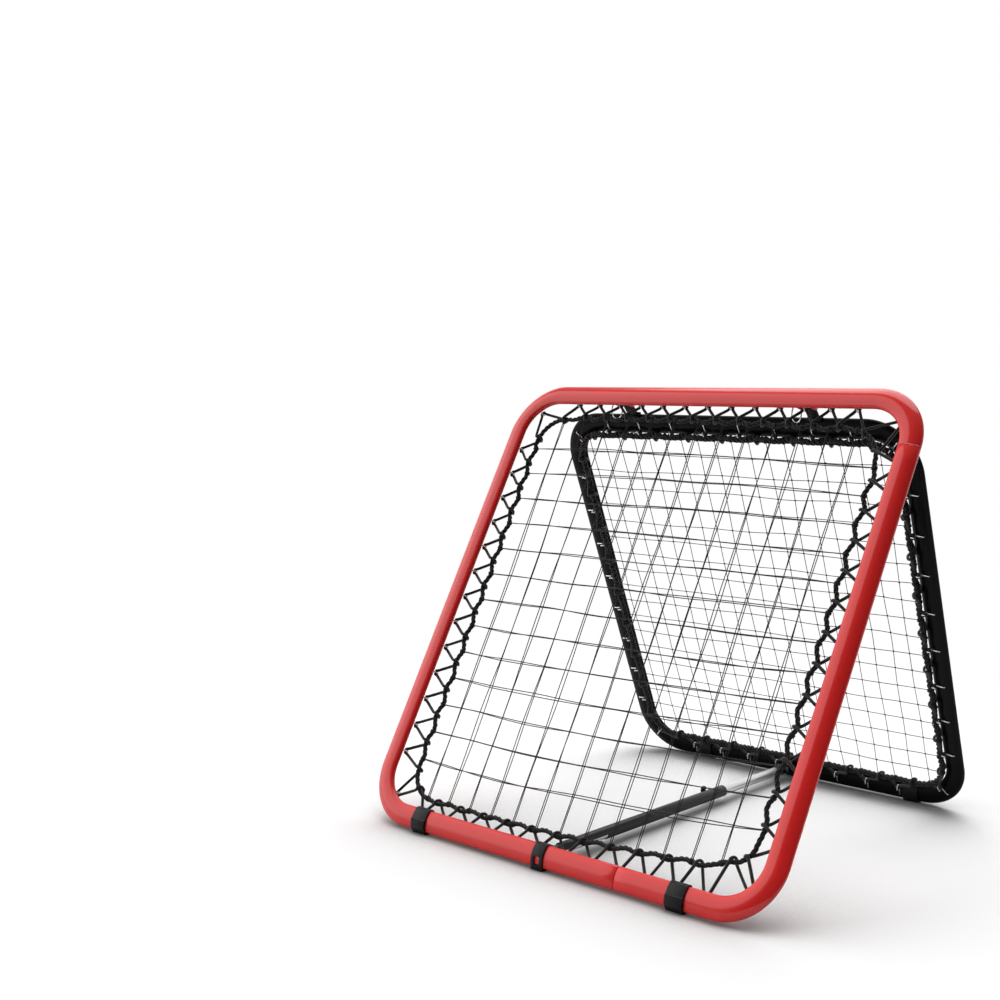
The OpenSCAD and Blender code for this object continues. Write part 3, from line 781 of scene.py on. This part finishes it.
def whipPart(radius, wire):
    # two turns of string round the rope where a net string ends
    pieces, pitch = 24, 1.6 * wire
    points = []
    for k in range(pieces + 1):
        a = 4 * math.pi * k / pieces
        points.append(Vector(((k / pieces - 0.5) * 2 * pitch, radius * math.cos(a), radius * math.sin(a))))
    return pipe(points, wire, 5)


def ropeRoute(size, net, step):
    return smoothRoute(ropePoints(size, net), step)


def makeRope(name, size, net, place):
    route, length = ropeRoute(size, net, ropeLay["step"])
    strand = net["rope"] / ropeLay["fill"]
    source = edgeSource(name + "Path", [[place @ p for p in route]], True)
    return modifierPiece(name, source, strandTree, {
        "Turns": ("NodeSocketFloat", float(round(length / ropeLay["lay"]))),
        "Strand": ("NodeSocketFloat", strand), "Offset": ("NodeSocketFloat", net["rope"] - strand),
        "Material": ("NodeSocketMaterial", ropeFibre)})


def makeStrings(name, lines, closed, radius, material):
    source = edgeSource(name + "Path", lines, closed)
    return modifierPiece(name, source, stringTree, {"Radius": ("NodeSocketFloat", radius),
                                                    "Material": ("NodeSocketMaterial", material)})


def makeLace(name, size, net, place):
    corners = lacePoints(size, net, ropeRoute(size, net, ropeLay["step"])[0])
    route = smoothRoute([place @ p for p in corners], elastic["step"])[0]
    return makeStrings(name, [route], True, elastic["radius"], elasticSleeve)


def joinObjects(name, objects):
    parts = []
    for o in objects:
        parts.append(([v.co.copy() for v in o.data.vertices], [tuple(p.vertices) for p in o.data.polygons]))
        bpy.data.objects.remove(o)
    return joined(name, parts)


def makeNet(name, size, net, place, layer, shift, seed, knotSize):
    route = ropeRoute(size, net, netLay["step"])[0]
    lines, knots, whips = stringLines(size, net, route, layer, shift, seed)
    strings = makeStrings(name, [[place @ p for p in line] for line in lines], False, net["string"], netFibre)
    beads = scattered(name + "Knots", knotPart(knotSize), [place @ Matrix.Translation(k) for k in knots],
                      netFibre)
    ends = scattered(name + "Whips", whipPart(net["rope"] + elastic["clear"], net["string"]),
                     [place @ m for m in whips], netFibre)
    return joinObjects(name, [strings, beads, ends])


for prefix, size, net, place, body in (("front", frontFrame, frontNet, frontPlace, "front_frame"),
                                       ("back", backFrame, backNet, backPlace, "back_frame")):
    settle(makeRope(prefix + "Rope", size, net, place), body, ropeFibre, "rope", prefix + "_border_rope")
    settle(makeLace(prefix + "Lacing", size, net, place), body, elasticSleeve, "elastic",
           prefix + "_lacing_cord")
    settle(scattered(prefix + "Hooks", hookPart(), hookPlaces(size, net, place), zincMetal), body, zincMetal,
           "zinc", prefix + "_wire_hooks")
for name, size, net, place, layer, shift, seed, knotSize, body, node in (
        ("frontNetOuter", frontFrame, frontNet, frontPlace, -0.0012, (0.0009, -0.0008), 1, 0.0014,
         "front_frame", "front_net_outer_layer"),
        ("frontNetInner", frontFrame, frontNet, frontPlace, 0.0012, (-0.0009, 0.0008), 2, 0.0014,
         "front_frame", "front_net_inner_layer"),
        ("backNetStrings", backFrame, backNet, backPlace, 0.0, (0, 0), 3, 0.0021,
         "back_frame", "back_net")):
    settle(makeNet(name, size, net, place, layer, shift, seed, knotSize), body, netFibre, "net_string", node)
print("nets ready")


softEdge = {"weld": 0.00001, "flat": 1.0, "round": 35.0, "segments": 2, "sharp": 32, "lathed": 40}


def softened(name, node, width):
    # a copy of the solid with its flat faces merged and its edges rounded
    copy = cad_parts[node].data.copy()
    obj = inScene(name, copy)
    bm = bmesh.new()
    bm.from_mesh(copy)
    bmesh.ops.remove_doubles(bm, verts=bm.verts, dist=softEdge["weld"])
    bmesh.ops.dissolve_limit(bm, angle_limit=math.radians(softEdge["flat"]), verts=bm.verts, edges=bm.edges)
    bm.to_mesh(copy)
    bm.free()
    bevel = obj.modifiers.new("edge", "BEVEL")
    bevel.width, bevel.segments, bevel.limit_method = width, softEdge["segments"], "ANGLE"
    bevel.angle_limit = math.radians(softEdge["round"])
    piece = applied(name, obj)
    piece.data.set_sharp_from_angle(angle=math.radians(softEdge["sharp"]))
    return piece


pair, single = ("Left", "Right"), ("",)
for stem, node, sides, width, body, material, slotName in (
        ("hingeEars", "hinge_ears", pair, 0.0006, "front_frame", redCoat, "red_coat"),
        ("hingeArm", "hinge_arm", pair, 0.0006, "back_frame", blackCoat, "black_coat"),
        ("hingePin", "hinge_pin", pair, 0.0006, "front_frame", zincMetal, "zinc"),
        ("frontFoot", "front_foot", pair, 0.0006, "front_frame", footPlastic, "black_plastic"),
        ("backFoot", "back_foot", pair, 0.0006, "back_frame", footPlastic, "black_plastic"),
        ("frontClip", "front_strut_clip", single, 0.0006, "front_frame", footPlastic, "black_plastic"),
        ("backClip", "back_strut_clip", single, 0.0006, "back_frame", footPlastic, "black_plastic"),
        ("frontClipPin", "front_clip_pin", single, 0.0005, "front_frame", zincMetal, "zinc"),
        ("backClipPin", "back_clip_pin", single, 0.0005, "back_frame", zincMetal, "zinc"),
        ("strutOuter", "strut_outer_tube", single, 0.0004, "strut_outer", strutCoat, "black_coat"),
        ("strutOuterEnd", "strut_outer_end_fitting", single, 0.0008, "strut_outer", footPlastic,
         "black_plastic"),
        ("strutInner", "strut_inner_tube", single, 0.0003, "strut_inner", silverTube, "silver_coat"),
        ("strutInnerEnd", "strut_inner_end_fitting", single, 0.0008, "strut_inner", footPlastic,
         "black_plastic")):
    for side in sides:
        whole = node + "_" + side.lower() if side else node
        settle(softened(stem + side, whole, width), body, material, slotName, whole)


ringWire = {"hingeX": 0.225, "radius": 0.017, "wire": 0.0008, "out": 0.026, "play": 0.00028,
            "pitch": 1.02, "cross": 6, "pieces": 96, "start": 1.15}


def splitRing(name, x):
    # two close turns of wire through the pin's cross hole
    radius, wire, pieces = ringWire["radius"], ringWire["wire"], ringWire["pieces"]
    centre = Vector((x - ringWire["out"], pivotY, pivotZ - radius - ringWire["play"]))
    points = []
    for k in range(pieces + 1):
        a = math.pi * (4 * k / pieces + ringWire["start"])
        shift = wire * ringWire["pitch"] * math.tanh(ringWire["cross"] * (k / pieces - 0.5))
        points.append(centre + Vector((shift, math.sin(a) * radius, math.cos(a) * radius)))
    return joined(name, [pipe(points, wire, 10)])


for side, x in (("Left", -ringWire["hingeX"]), ("Right", ringWire["hingeX"])):
    settle(splitRing("splitRing" + side, x), "ring_" + side.lower(), zincMetal, "zinc",
           "pin_ring_" + side.lower())

# plunger profiles are (radius, height) from the strut's middle line up
strut = {"x": -0.008, "reach": 0.038, "plunger": 0.520}
strutStart = Vector((strut["x"], stand["frontY"] + strut["reach"], stand["sole"]))
plungerPlace = Matrix.Translation(strutStart + Vector((0, strut["plunger"], 0))) @ Matrix.Rotation(
    -math.pi / 2, 4, "Y")
boss = lathe([(0.0060, 0.0122), (0.0074, 0.0122), (0.0075, 0.0128), (0.0075, 0.0186), (0.0071, 0.0194),
              (0.0062, 0.0199), (0.0036, 0.0200)])
shaft = lathe([(0.0020, 0.0108), (0.0033, 0.0118), (0.0033, 0.0282)])
knob = lathe([(0.0030, 0.0278), (0.0048, 0.0280), (0.0050, 0.0286), (0.0045, 0.0302), (0.0047, 0.0314),
              (0.0066, 0.0319), (0.0081, 0.0325), (0.0085, 0.0335), (0.0085, 0.0368), (0.0081, 0.0376),
              (0.0072, 0.0380), (0.0058, 0.0377), (0.0010, 0.0376)])
for name, part, body, material, slotName, node in (
        ("plungerBoss", boss, "strut_outer", footPlastic, "black_plastic", "plunger_boss"),
        ("plungerPin", shaft, "plunger", zincMetal, "zinc", "plunger_pin"),
        ("plungerKnob", knob, "plunger", footPlastic, "black_plastic", "plunger_knob")):
    piece = joined(name, [moved(part, plungerPlace)])
    piece.data.set_sharp_from_angle(angle=math.radians(softEdge["lathed"]))
    settle(piece, body, material, slotName, node)

# solids that no piece stands in for are plain steel
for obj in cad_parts.values():
    if not obj.hide_render:
        obj.data.materials.clear()
        obj.data.materials.append(plainSteel)
print("small parts ready")

# open is how much of the sky a spot sees where the painted shadow is full and where it ends
ground = {"half": 9, "fade": (0.9, 2.4), "reach": 0.34, "open": (0.50, 0.99), "shadow": 0.30,
          "white": (0.95, 0.97), "bounce": 0.50}
corners = [(x * ground["half"], y * ground["half"], 0) for x, y in ((-1, -1), (1, -1), (1, 1), (-1, 1))]
floor = pieceFrom("floor", corners, [(0, 1, 2, 3)])
paper = Finish("paleFloor", **{"Specular IOR Level": 0.0})
# painted contact shadow: the floor's own colour darkens close under the tubes and the feet, where a spot sees
# less sky
openSky = paper.put("ShaderNodeAmbientOcclusion", {"samples": 12}, {"Distance": ground["reach"]}, out="AO")
paleWithPaintedShadow = paper.mix(paper.ramp(openSky, *ground["open"]), grey(ground["shadow"]),
                 paper.mix(paper.noise(3.0, 2.0), *(grey(v) for v in ground["white"])))
# white where it is seen, greyer where it only throws light back up at the tubes
ray = paper.put("ShaderNodeLightPath", out="Is Camera Ray")
paper.set(Base_Color=paper.mix(ray + ray.also("Is Glossy Ray"), grey(ground["bounce"]), paleWithPaintedShadow),
          Roughness=paper.noise(60.0, 2.0) * 0.1 + 0.8)
# the floor thins out with distance, so that its edge doesn't show
far = paper.put("ShaderNodeVectorMath", {"operation": "LENGTH"}, {0: paper.spot}, out=1)
paper.feed(paper.output.node, {0: paper.put("ShaderNodeMixShader", None, {
    0: paper.ramp(far, *ground["fade"]), 1: paper.shader, 2: paper.put("ShaderNodeBsdfTransparent")})})
floor.data.materials.append(paper.material)

light = {"dark": 0.06, "middle": 0.30, "box": 3.3, "window": 2.1, "key": 1.5,
         "keyPlace": (-1.2, 1.4, 3.2), "keySize": 1.6, "keyAim": (0, 0, 0.3)}
world = bpy.data.worlds.new("studio")
bpy.context.scene.world = world
world.use_nodes = True
world.node_tree.nodes.clear()
sky = Desk(world.node_tree)
direction = sky.put("ShaderNodeTexCoord", out=0)
tone = grey(1)
# eye level stays white; dim overhead with a bright box in it, a window to the left, dark behind the viewer
# (the middle of each patch, where it starts and where it is full in degrees from there, and its strength)
for axis, outer, inner, strength in (((0, 0, 1), 64, 52, light["middle"]),
                                     ((0.66, -0.73, -0.05), 85, 50, light["dark"]),
                                     ((-0.75, -0.47, 0.50), 34, 26, light["window"]),
                                     ((-0.20, 0.36, 0.91), 30, 24, light["box"])):
    near = sky.put("ShaderNodeVectorMath", {"operation": "DOT_PRODUCT"},
                   {0: direction, 1: Vector(axis).normalized()}, out=1)
    edge = sky.ramp(near, math.cos(math.radians(outer)), math.cos(math.radians(inner)))
    tone = sky.mix(edge, tone, grey(strength))
glow = sky.put("ShaderNodeBackground", None, {0: tone, 1: 1.0})
sky.put("ShaderNodeOutputWorld", None, {0: glow})

lamp = bpy.data.lights.new("keyLamp", "AREA")
lamp.shape, lamp.size, lamp.energy = "DISK", light["keySize"], light["key"]
keyLamp = inScene("keyLamp", lamp)
keyLamp.location = light["keyPlace"]
keyLamp.rotation_mode = "QUATERNION"
keyLamp.rotation_quaternion = (Vector(light["keyAim"]) - Vector(light["keyPlace"])).to_track_quat("-Z", "Y")
print("floor and light ready")

bpy.context.view_layer.update()
